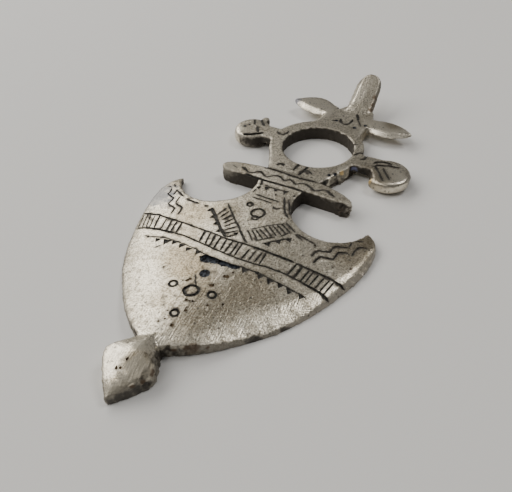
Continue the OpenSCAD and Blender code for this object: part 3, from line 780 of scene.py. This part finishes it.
def drop_on(geometry, casting):
    """Sets each point down on the casting's upper face."""
    tree = geometry.tree
    place = add(tree, "GeometryNodeInputPosition")
    target = add(tree, "GeometryNodeObjectInfo", {"Object": casting}, "Geometry")
    ray = add(tree, "GeometryNodeRaycast", {
        "Target Geometry": target, "Source Position": vectors("ADD", place, (0, 0, ABOVE)),
        "Ray Direction": (0, 0, -1), "Ray Length": 2.0 * ABOVE,
    })
    near = add(tree, "GeometryNodeSampleNearestSurface", {
        "Mesh": target, "Value": place, "Sample Position": vectors("ADD", place, (0, 0, FACE_H)),
    }, data_type="FLOAT_VECTOR")
    found = add(tree, "GeometryNodeSwitch", {
        "Switch": ray["Is Hit"], "False": near, "True": ray["Hit Position"],
    }, input_type="VECTOR")
    plan = parts(place)
    landed = xyz(tree, plan["X"], plan["Y"], parts(found)["Z"])
    return add(tree, "GeometryNodeSetPosition", {"Geometry": geometry, "Position": landed})


def shaken(geometry, scale, amount):
    """Moves each point a little in plan, by noise."""
    tree = geometry.tree
    shake = add(tree, "ShaderNodeTexNoise", {"Scale": scale, "Detail": 1.0}, "Color")
    shake = vectors("MULTIPLY", vectors("SUBTRACT", shake, (0.5, 0.5, 0.5)), xyz(tree, amount, amount))
    return add(tree, "GeometryNodeSetPosition", {"Geometry": geometry, "Offset": shake})


def spaced(given):
    """Points along each path, as many as its count says."""
    path = add(given.tree, "GeometryNodeMeshToCurve", {"Mesh": given["Geometry"]})
    count = named(given.tree, COUNT, "INT")
    return add(given.tree, "GeometryNodeResampleCurve", {"Curve": path, "Count": count}, mode="COUNT")


def along_path(lean):
    """Rotation about Z that turns an instance's X along the path, with a lean in radians."""
    tangent = parts(add(lean.tree, "GeometryNodeInputTangent"))
    return xyz(lean.tree, z=maths("ARCTAN2", tangent["Y"], tangent["X"]) + lean)


def ladder_tree():
    """Rungs across a path, as bare edges that the graver tree then cuts."""
    given = new_tree("ladder")
    tree = given.tree
    ends = {"Count": 2, "Start Location": (0, -1, 0), "Offset": (0, 2, 0)}
    rung = add(tree, "GeometryNodeMeshLine", ends)
    return finished(add(tree, "GeometryNodeInstanceOnPoints", {
        "Points": spaced(given), "Instance": rung, "Rotation": along_path(named(tree, LEAN)),
        "Scale": xyz(tree, 1.0, named(tree, HALF), 1.0),
    }))


def graver_tree():
    """Cutters along the charted lines: a groove's section swept over the casting, thin at its ends."""
    given = new_tree(
        "graver", Casting="Object", Depth="Float", Step="Float", Taper="Float", Wobble="Float",
        Ink="Material",
    )
    tree = given.tree
    lines = add(tree, "GeometryNodeMeshToCurve", {"Mesh": given["Geometry"]})
    steps = {"Curve": lines, "Length": given["Step"]}
    lines = add(tree, "GeometryNodeResampleCurve", steps, mode="LENGTH")
    lines = drop_on(shaken(lines, 1.1, given["Wobble"]), given["Casting"])
    lines = add(tree, "GeometryNodeSetCurveNormal", {"Curve": lines}, mode="Z_UP")
    place = add(tree, "GeometryNodeSplineParameter")["Length"]
    left = add(tree, "GeometryNodeSplineLength") - place
    thin = maths("DIVIDE", maths("MINIMUM", left, place), given["Taper"]).clamped()
    thin = maths("MULTIPLY_ADD", thin, 1 - GROOVE_END, GROOVE_END)
    thin = maths("MAXIMUM", thin, add(tree, "GeometryNodeInputSplineCyclic"))
    section = add(tree, "GeometryNodeCurvePrimitiveQuadrilateral", {
        "Bottom Width": GROOVE_FOOT, "Top Width": GROOVE_TOP, "Height": 1.0, "Offset": 0.0,
    }, mode="TRAPEZOID")
    squash = xyz(tree, 1.0, given["Depth"] * 2.0, 1.0)
    section = add(tree, "GeometryNodeTransform", {"Geometry": section, "Scale": squash})
    return finished(add(tree, "GeometryNodeCurveToMesh", {
        "Curve": lines, "Profile Curve": section, "Scale": named(tree, WIDTH) * thin, "Fill Caps": True,
    }), given["Ink"])


def mark_tree():
    """Punches and pits along a path: tapered plugs turned with the path, their sides made ragged."""
    given = new_tree(
        "marks", Casting="Object", Sides="Int", Depth="Float", Ragged="Float", Seed="Int",
        Material="Material",
    )
    tree = given.tree
    plug = add(tree, "GeometryNodeMeshCone", {
        "Vertices": given["Sides"], "Radius Bottom": PUNCH_TIP, "Radius Top": PUNCH_TOP,
        "Depth": given["Depth"],
    })
    sink = xyz(tree, z=given["Depth"] * -0.5)
    plug = add(tree, "GeometryNodeTransform", {"Geometry": plug, "Translation": sink})
    size = named(tree, SIZE) * add(tree, "FunctionNodeRandomValue", {
        "Min": 0.9, "Max": 1.1, "Seed": given["Seed"],
    }, "Value", data_type="FLOAT")
    plugs = add(tree, "GeometryNodeInstanceOnPoints", {
        "Points": drop_on(spaced(given), given["Casting"]), "Instance": plug,
        "Rotation": along_path(named(tree, TURN)), "Scale": xyz(tree, size, size, 1.0),
    })
    solid = add(tree, "GeometryNodeRealizeInstances", {"Geometry": plugs})
    return finished(shaken(solid, 3.0, given["Ragged"]), given["Material"])


def weld_tree():
    """Makes one clean solid of cutters that run through each other."""
    given = new_tree("weld")
    return finished(add(given.tree, "GeometryNodeMeshBoolean", {
        "Mesh 2": given["Geometry"], "Self Intersection": True,
    }, operation="UNION", solver="EXACT"))


# Chart to paths: bare edges in plan, with an attribute for each fact of the line


def ring_points(x, y, r, first, last):
    """Points on a circle from one angle to another, in degrees."""
    sides = max(LEAST_SIDES, round(abs(last - first) / SIDE_TURN))
    turns = [math.radians(first + (last - first) * k / sides) for k in range(sides + 1)]
    return [(x + r * math.cos(a), y + r * math.sin(a)) for a in turns]


def path_mesh(name, paths):
    """Edges along paths of (facts, points), where facts are attributes by name. A path may close."""
    verts, edges, facts = [], [], {}
    for given, points in paths:
        closed = math.dist(points[0], points[-1]) < TINY / 2
        start, count = len(verts), len(points) - closed
        verts += [(x, y, 0) for x, y in points[:count]]
        edges += [(start + k, start + (k + 1) % count) for k in range(count - 1 + closed)]
        for key, value in given.items():
            facts.setdefault(key, []).extend([value] * count)
    mesh = bpy.data.meshes.new(name)
    mesh.from_pydata(verts, edges, [])
    for key, values in facts.items():
        kind = "INT" if key == COUNT else "FLOAT"
        mesh.attributes.new(key, kind, "POINT").data.foreach_set("value", values)
    return new_object(name, mesh)


def height_on(line, x):
    """The line's Y at X."""
    return float(np.interp(x, *np.array(line).T))


def stretch(line, start, end, lift):
    """The part of a charted line from one X to another, moved up."""
    inner = [x for x, _ in line if start < x < end]
    return [(x, height_on(line, x) + lift) for x in (start, *inner, end)]


def strokes(rows):
    """Paths of rows that have a width and then points."""
    return [({WIDTH: width}, points) for width, *points in rows]


def chart_paths():
    """Paths of all engraved lines, ticks and rings."""
    paths = strokes(LINES)
    paths += [({WIDTH: width}, stretch(*stroke)) for width, *stroke in BAND_STROKES]
    for top, foot, width, gap in TICKS:
        ends = [(top, height_on(BAND_TOP, top) - gap), (foot, height_on(BAND_FOOT, foot) + TICK_PAST)]
        paths.append(({WIDTH: width}, ends))
    paths += [({WIDTH: width}, ring_points(x, y, r, *arc)) for x, y, r, width, *arc in RINGS]
    return paths


def rung_object():
    """The rungs of the ladders, as bare edges."""
    rungs = path_mesh("rungs", [
        ({COUNT: count, HALF: half, LEAN: math.radians(lean), WIDTH: width}, points)
        for count, half, lean, width, *points in LADDERS
    ])
    run_tree(rungs, ladder_tree())
    return rungs


def joined(pieces):
    """One mesh object from several. Each face keeps its material."""
    with bpy.context.temp_override(active_object=pieces[0], selected_editable_objects=pieces):
        bpy.ops.object.join()
    return pieces[0]


def line_cutters(casting, settings):
    """Cutters of all that is cut with a graver."""
    tree = graver_tree()
    chart = joined([path_mesh("lines", chart_paths()), rung_object()])
    smear = path_mesh("smear", strokes(SMEAR))
    for lines, material in ((chart, INK), (smear, SLATE)):
        run_tree(
            lines, tree, Casting=casting, Depth=settings.depth, Step=settings.step, Taper=settings.taper,
            Wobble=settings.wobble, Ink=bpy.data.materials[material],
        )
    return joined([chart, smear])


def mark_paths(rows):
    """A tiny path for each (X, Y, size, turn), so that one mark stands on it."""
    return [
        ({COUNT: 1, SIZE: size, TURN: math.radians(turn)}, [(x, y), (x + TINY, y)])
        for x, y, size, turn in rows
    ]


def mark_cutters(casting, settings):
    """Cutters of the punches, the round marks and the pits."""
    tree = mark_tree()
    paths = {
        "triangles": [
            ({COUNT: count, SIZE: size, TURN: side * math.pi / 2}, points)
            for count, size, side, *points in PUNCH_ROWS
        ] + mark_paths([(x, y, size, turn - 90) for x, y, size, turn in PUNCHES]),
        "dots": mark_paths([(*dot, 0) for dot in DOTS]),
        "pits": mark_paths([(*pit, PIT_TURN * k) for k, pit in enumerate(PITS)]),
    }
    made = []
    for name, sides, depth, ragged, material in MARK_KINDS:
        marks = path_mesh(name, paths[name])
        run_tree(
            marks, tree, Casting=casting, Sides=sides, Depth=depth, Ragged=ragged, Seed=settings.seed,
            Material=bpy.data.materials[material],
        )
        made.append(marks)
    return joined(made)


def cut(casting, cutters):
    """Takes the cutters out of the casting. The cut faces keep the cutters' material."""
    run_tree(cutters, weld_tree())
    modify(
        casting, "BOOLEAN", operation="DIFFERENCE", solver="MANIFOLD", material_mode="TRANSFER",
        object=cutters,
    )
    settle(casting)
    bpy.data.objects.remove(cutters)
    if not any(face.material_index for face in casting.data.polygons):
        raise RuntimeError("The engraving left no cut in the casting")


def drop_crumbs(mesh):
    """Takes off the loose crumbs that the cuts leave."""
    shell = bmesh.new()
    shell.from_mesh(mesh)
    left = set(shell.verts)
    crumbs = []
    while left:
        island = [left.pop()]
        for vertex in island:
            linked = {edge.other_vert(vertex) for edge in vertex.link_edges} & left
            left -= linked
            island += linked
        if len(island) < len(shell.verts) / 2:
            crumbs += island
    bmesh.ops.delete(shell, geom=crumbs, context="VERTS")
    shell.to_mesh(mesh)
    shell.free()


# Materials


def shader(name):
    """A new node material, its tree and its shader node."""
    material = bpy.data.materials.new(name)
    material.use_nodes = True
    return material, material.node_tree, material.node_tree.nodes["Principled BSDF"]


def blend(factor, low, high, mode="MIX"):
    """A colour between two colours, each a wire or a plain colour."""
    inputs = {0: factor, 6: low, 7: high}
    return add(factor.tree, "ShaderNodeMix", inputs, 2, data_type="RGBA", blend_type=mode)


def ramp(value, low, high):
    """0 below low, 1 above high, and smooth between."""
    return add(value.tree, "ShaderNodeMapRange", (value, low, high), interpolation_type="SMOOTHSTEP")


def speckle(place, size, detail=2.0):
    """Noise with features of the given size in millimetres."""
    inputs = {"Vector": place, "Scale": PER_M / size, "Detail": detail}
    return add(place.tree, "ShaderNodeTexNoise", inputs)


def fact(tree, name):
    return add(tree, "ShaderNodeAttribute", out="Fac", attribute_name=name)


def filed(place, angle, length, width):
    """Fine file marks: noise drawn out along one direction, in millimetres."""
    turned = add(place.tree, "ShaderNodeMapping", {
        "Vector": place, "Rotation": (0, 0, math.radians(angle)),
        "Scale": (length * MM, width * MM, length * MM),
    }, vector_type="TEXTURE")
    return add(place.tree, "ShaderNodeTexNoise", {"Vector": turned, "Scale": 1.0, "Detail": 2.0})


def pinholes(place, spacing, size):
    """Small round specks, in millimetres apart and across."""
    cells = add(place.tree, "ShaderNodeTexVoronoi", {"Vector": place, "Scale": PER_M / spacing})
    chance = add(place.tree, "ShaderNodeSeparateColor", (cells["Color"],))
    return ((chance * (size / spacing) - cells) * 12).clamped()


def weighed(*pairs):
    """The sum of the wires, each with its weight."""
    total = 0.0
    for wire, weight in pairs:
        total = maths("MULTIPLY_ADD", wire, weight, total)
    return total


def dark_material(name, colour, spread, rough):
    """Dirt or tarnish in a cut or a pit."""
    material, tree, surface = shader(name)
    mix = ramp(speckle(add(tree, "ShaderNodeTexCoord", out="Object"), 0.35), 0.38, 0.62)
    mixed = blend(mix, [c * (1 - spread) for c in colour], [c * (1 + spread) for c in colour])
    tree.links.new(mixed.socket, surface.inputs["Base Color"])
    surface.inputs["Roughness"].default_value = rough
    surface.inputs["Specular IOR Level"].default_value = 0.25
    return material


def silver_material(settings):
    """Worn cast silver with dull patches, specks and file marks; painted highlights, painted shade and
    stains on the face, and dark tarnish with painted shade where walls are sheltered
    """
    material, tree, surface = shader(SILVER)
    place = add(tree, "ShaderNodeTexCoord", out="Object")
    upright = parts(add(tree, "ShaderNodeNewGeometry", out="True Normal"))["Z"]
    covered = 1.0 - fact(tree, BARE_AND_HIGHLIT)
    wall_skin_and_shade = ramp(maths("ABSOLUTE", upright), *WALL) * covered
    # Painted shade: sharp edges are darkened like walls, which keeps highlights off them
    wall_skin_and_shade = maths("MAXIMUM", wall_skin_and_shade, fact(tree, CREST_SHADE) * 0.8)
    patches = speckle(place, PATCH, 3.0)
    mottle = speckle(place, MOTTLE, 3.0)
    grain = speckle(place, GRAIN)
    marks = filed(place, *FILE_MARKS)
    cross = filed(place, *CROSS_MARKS)

    # Metal, bare or dull, and the cast skin of the walls, whose dark colour is also painted shade on walls
    # and sharp edges
    dull = weighed(
        (ramp(patches, 0.35, 0.7), 0.3), (ramp(mottle, 0.42, 0.7), 0.36), (ramp(grain, 0.46, 0.6), 0.8)
    )
    # Painted highlights and rubbed metal take the dullness off
    dull = (dull * maths("MULTIPLY_ADD", fact(tree, BARE_AND_HIGHLIT), -0.7, 1.0)).clamped()
    colour = blend(dull, settings.silver, settings.dull)
    # Painted shade and dull places: the colour multiplied darker
    colour = blend(fact(tree, DULL_AND_SHADE), colour, settings.shade, "MULTIPLY")
    skin = blend(fact(tree, RAW), settings.cast, settings.raw)
    colour = blend(wall_skin_and_shade * 0.85, colour, skin)

    # Dirt in the pinholes and round the cuts; dark tarnish and painted shade in the shelter of walls;
    # stains, among them painted shade and painted glints
    specks = maths("MAXIMUM", *(pinholes(place, *hole) for hole in PINHOLES)) * 0.75
    halo = (fact(tree, HALO) * (mottle + 0.1)).clamped()
    colour = blend(maths("MAXIMUM", specks, halo), colour, [c * 3 for c in settings.ink])
    uneven = mottle - 0.5
    # Painted shade, with dark tarnish, where walls face other walls
    shade_tarnish_cover = ramp(fact(tree, SHADE_AND_TARNISH) + uneven, 0.08, 0.45) * 0.95 * covered
    colour = blend(shade_tarnish_cover, colour, settings.shade_tarnish_colour)
    # Stains in their own colours, among them painted shade and painted glints
    spots = ramp(fact(tree, STAIN_AND_LIGHT) + uneven, 0.15, 0.7) * 0.85
    colour = blend(spots, colour, add(tree, "ShaderNodeAttribute", attribute_name=TINT_AND_LIGHT))
    tarnish_and_shade = maths("MAXIMUM", shade_tarnish_cover, spots * 0.6)

    metal = (1.0 - maths("MAXIMUM", tarnish_and_shade * 0.75, wall_skin_and_shade * 0.7)).clamped()
    rough = weighed((mottle, 0.2), (marks, 0.1), (tarnish_and_shade, 0.25), (wall_skin_and_shade, 0.15))
    rough = (rough + (settings.gloss - 0.14)).clamped()
    height = weighed((marks, 0.65), (cross, 0.4), (grain, 0.45), (mottle, 0.55))
    relief = {"Height": height, "Distance": settings.relief * MM, "Strength": 1.0}
    bump = add(tree, "ShaderNodeBump", relief)
    wires = {"Base Color": colour, "Metallic": metal, "Roughness": rough, "Normal": bump}
    for name, wire in wires.items():
        tree.links.new(wire.socket, surface.inputs[name])
    return material


# Age and painted light: where dirt, tarnish, painted shade and painted highlights lie on the casting, in
# millimetres


def face_tree(cutters):
    """A search tree of the middles of the cutters' faces, for the distance to the nearest cut."""
    return search_tree(facts_of(cutters.data.polygons, "center", 3))


def raise_burrs(mesh, grooves, settings):
    """A low uneven ridge beside each groove, as the graver throws it up."""
    co, no = coords(mesh), normals(mesh)
    ridge = np.exp(-(((distances(grooves, co) - settings.reach) / BURR_WIDTH) ** 2)) * settings.burr
    ridge *= np.clip(0.5 + noise_at(co, 1.2), 0, 1.4) * (no[:, 2] > 0.8)
    move_to(mesh, co + no * ridge[:, None])


def shelter(mesh, skin):
    """How far each wall vertex faces another wall, from 0 in the open to 1 in a tight bay: the share of
    painted shade and dark tarnish there.
    """
    turns = [Matrix.Rotation(math.radians(a), 3, "Z") for a in LOOK_FAN]
    found = np.zeros(len(mesh.vertices), np.float32)
    for vertex in mesh.vertices:
        out = Vector((vertex.normal.x, vertex.normal.y, 0))
        if out.length < WALL_OUT:
            continue
        out.normalize()
        start = vertex.co + out * LOOK_LIFT
        start.z = min(start.z, LOOK_HIGH)
        for turn in turns:
            hit, _, _, off = skin.ray_cast(start, turn @ out, LOOK_FAR)
            if hit is not None:
                found[vertex.index] += (1 - off / LOOK_FAR * 0.6) / len(turns)
    return found


def edge_ends(mesh):
    return facts_of(mesh.edges, "vertices", 2, np.int32)


def softened(mesh, values, times):
    """The values averaged along the edges, so that they change gently."""
    ends = edge_ends(mesh)
    count = np.bincount(ends.ravel(), minlength=len(values)) + 1
    for _ in range(times):
        total = values.astype(np.float64)
        for near, far in (ends.T, ends.T[::-1]):
            total += np.bincount(near, values[far], len(values))
        values = total / count
    return values


def crests(mesh):
    """How sharply the surface turns at each vertex, from 0 on a face to 1 on an edge."""
    no, ends = normals(mesh), edge_ends(mesh)
    turn = 1 - (no[ends[:, 0]] * no[ends[:, 1]]).sum(axis=1)
    sharp = np.zeros(len(no), np.float32)
    for side in ends.T:
        np.maximum.at(sharp, side, turn)
    return softened(mesh, smooth_step(*CREST_TURN, sharp), 1)


def age(mesh, cuts, skin):
    """Writes where dirt, painted shade of sheltered walls, bare metal with painted highlights, dull places
    with painted shade, and stains with painted shade and glints lie.
    """
    co = coords(mesh)
    off = distances(cuts, co)
    # Painted shade and dull places, as one share
    dull = np.zeros(len(co), np.float32)
    for *spot, strength in DULLED_AND_SHADED:
        dull = np.maximum(dull, strength * smooth_step(0, 0.7, near_spots(co, [spot])))
    # Stains, painted shade and painted glints, each with its colour
    stain = np.zeros(len(co), np.float32)
    tint = np.zeros((len(co), 3), np.float32)
    for colour, *spots in STAINS_AND_PAINTED_LIGHT:
        share = near_spots(co, spots)
        tint[share > stain] = colour
        stain = np.maximum(stain, share)
    facts = {
        HALO: np.exp(-((off / HALO_REACH) ** 2)),
        CREST_SHADE: crests(mesh) * smooth_step(*CREST_OFF, off),
        SHADE_AND_TARNISH: softened(mesh, shelter(mesh, skin), 5),
        BARE_AND_HIGHLIT: smooth_step(0, 0.25, near_spots(co, RUBBED_AND_HIGHLIT)),
        RAW: smooth_step(0, 0.3, near_spots(co, RAW_SPOTS)),
        DULL_AND_SHADE: dull,
        STAIN_AND_LIGHT: stain,
    }
    for name, values in facts.items():
        mesh.attributes.new(name, "FLOAT", "POINT").data.foreach_set("value", values.astype(np.float32))
    mesh.attributes.new(TINT_AND_LIGHT, "FLOAT_VECTOR", "POINT").data.foreach_set("vector", tint.ravel())


class PENDANT_OT_casting(Operator):
    """Copies the solid finely, rubs its edges soft and dents it a little"""

    bl_idname = "pendant.casting"
    bl_label = "Casting"

    def execute(self, context):
        settings = context.scene.pendant_casting
        piece = solid_copy()
        modify(piece, "REMESH", mode="VOXEL", voxel_size=settings.grain)
        modify(piece, "SMOOTH", iterations=settings.wear)
        settle(piece)
        melt_joints(piece, settings)
        roll_rim(piece.data, settings)
        dent(piece.data, settings)
        thin_back(piece, settings)
        return {"FINISHED"}


class PENDANT_OT_engraving(Operator):
    """Cuts the charted lines, ladders, rings and punches into the face, and ages it"""

    bl_idname = "pendant.engraving"
    bl_label = "Engraving"

    def execute(self, context):
        settings = context.scene.pendant_engraving
        finish = context.scene.pendant_finish
        casting = bpy.data.objects[PIECE]
        casting.data.materials.append(silver_material(finish))
        for name, colour, spread, rough in (
            (INK, finish.ink, 0.6, 0.6), (RUST, finish.rust, 0.5, 0.8), (SLATE, finish.slate, 0.9, 0.6)
        ):
            casting.data.materials.append(dark_material(name, colour, spread, rough))
        lines = line_cutters(casting, settings)
        grooves = face_tree(lines)
        cutters = joined([lines, mark_cutters(casting, settings)])
        cuts = face_tree(cutters)
        skin = BVHTree.FromPolygons(
            [v.co for v in casting.data.vertices], [p.vertices for p in casting.data.polygons]
        )
        raise_burrs(casting.data, grooves, settings)
        cut(casting, cutters)
        drop_crumbs(casting.data)
        age(casting.data, cuts, skin)
        return {"FINISHED"}


class PENDANT_OT_finish(Operator):
    """Brings the piece to its real size and sets it on its body"""

    bl_idname = "pendant.finish"
    bl_label = "Finish"

    def execute(self, context):
        casting = bpy.data.objects[PIECE]
        casting.data.transform(Matrix.Scale(MM, 4))
        casting.data.shade_smooth()
        casting.data.set_sharp_from_angle(angle=math.radians(SHARP))
        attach(casting, "root")
        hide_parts("pendant")
        return {"FINISHED"}


class PENDANT_OT_stage(Operator):
    """Sets the floor, the lights and the camera"""

    bl_idname = "pendant.stage"
    bl_label = "Stage"

    def execute(self, context):
        settings = context.scene.pendant_stage
        set_floor(settings)
        set_lights(settings)
        set_camera(settings)
        return {"FINISHED"}


def set_floor(settings):
    bpy.ops.mesh.primitive_plane_add(size=FLOOR_SIZE, location=(0, 0, 0))
    floor = bpy.context.object
    floor.name = "floor"
    material, _, surface = shader("pale_floor")
    surface.inputs["Base Color"].default_value = (*settings.floor, 1)
    surface.inputs["Roughness"].default_value = 0.9
    floor.data.materials.append(material)
    world = bpy.data.worlds.new("room")
    world.use_nodes = True
    room = world.node_tree.nodes["Background"]
    room.inputs["Color"].default_value = (1, 1, 1, 1)
    room.inputs["Strength"].default_value = settings.room
    bpy.context.scene.world = world


def direction(azimuth, elevation):
    """The unit vector of an azimuth and an elevation in degrees."""
    turn, lift = math.radians(azimuth), math.radians(elevation)
    return Vector((math.cos(lift) * math.cos(turn), math.cos(lift) * math.sin(turn), math.sin(lift)))


def set_lights(settings):
    """Soft lights that face the pendant."""
    for name, azimuth, elevation, size, colour in LIGHTS:
        light = bpy.data.lights.new(name, "AREA")
        light.shape = "RECTANGLE"
        light.size, light.size_y = size
        light.energy = getattr(settings, name)
        light.color = colour
        lamp = new_object(name, light)
        towards = direction(azimuth, elevation)
        lamp.location = LIT_SPOT + towards * LIGHT_OFF
        lamp.rotation_euler = towards.to_track_quat("Z", "Y").to_euler()


def set_camera(settings):
    """The photo's viewpoint."""
    forward = direction(*CAMERA_VIEW)
    right = forward.cross(Vector((0, 0, 1))).normalized()
    level = Matrix((right, right.cross(forward), -forward)).transposed()
    turn = level @ Matrix.Rotation(math.radians(CAMERA_ROLL), 3, "Z")
    camera = bpy.data.cameras.new("camera")
    camera.sensor_width = 36.0
    camera.sensor_fit = "HORIZONTAL"
    camera.lens = settings.lens
    camera.clip_start = 0.001
    stand = new_object("camera", camera)
    stand.matrix_world = Matrix.Translation(Vector(CAMERA_PLACE) * MM) @ turn.to_4x4()
    bpy.context.scene.camera = stand


class PENDANT_PT_panel(Panel):
    """The pendant's steps in the sidebar"""

    bl_idname = "PENDANT_PT_panel"
    bl_label = "Pendant"
    bl_space_type = "VIEW_3D"
    bl_region_type = "UI"
    bl_category = "Pendant"

    def draw(self, context):
        for step in STEPS:
            self.layout.operator(step.bl_idname)


SETTINGS = {
    "pendant_casting": CastingSettings,
    "pendant_engraving": EngravingSettings,
    "pendant_finish": FinishSettings,
    "pendant_stage": StageSettings,
}
STEPS = (PENDANT_OT_stage, PENDANT_OT_casting, PENDANT_OT_engraving, PENDANT_OT_finish)
CLASSES = (*SETTINGS.values(), *STEPS, PENDANT_PT_panel)


def register():
    for cls in CLASSES:
        bpy.utils.register_class(cls)
    for name, cls in SETTINGS.items():
        setattr(bpy.types.Scene, name, PointerProperty(type=cls))


def unregister():
    for name in SETTINGS:
        delattr(bpy.types.Scene, name)
    for cls in reversed(CLASSES):
        bpy.utils.unregister_class(cls)


def main():
    register()
    for step in STEPS:
        group, name = step.bl_idname.split(".")
        getattr(getattr(bpy.ops, group), name)()


if __name__ == "__main__":
    main()
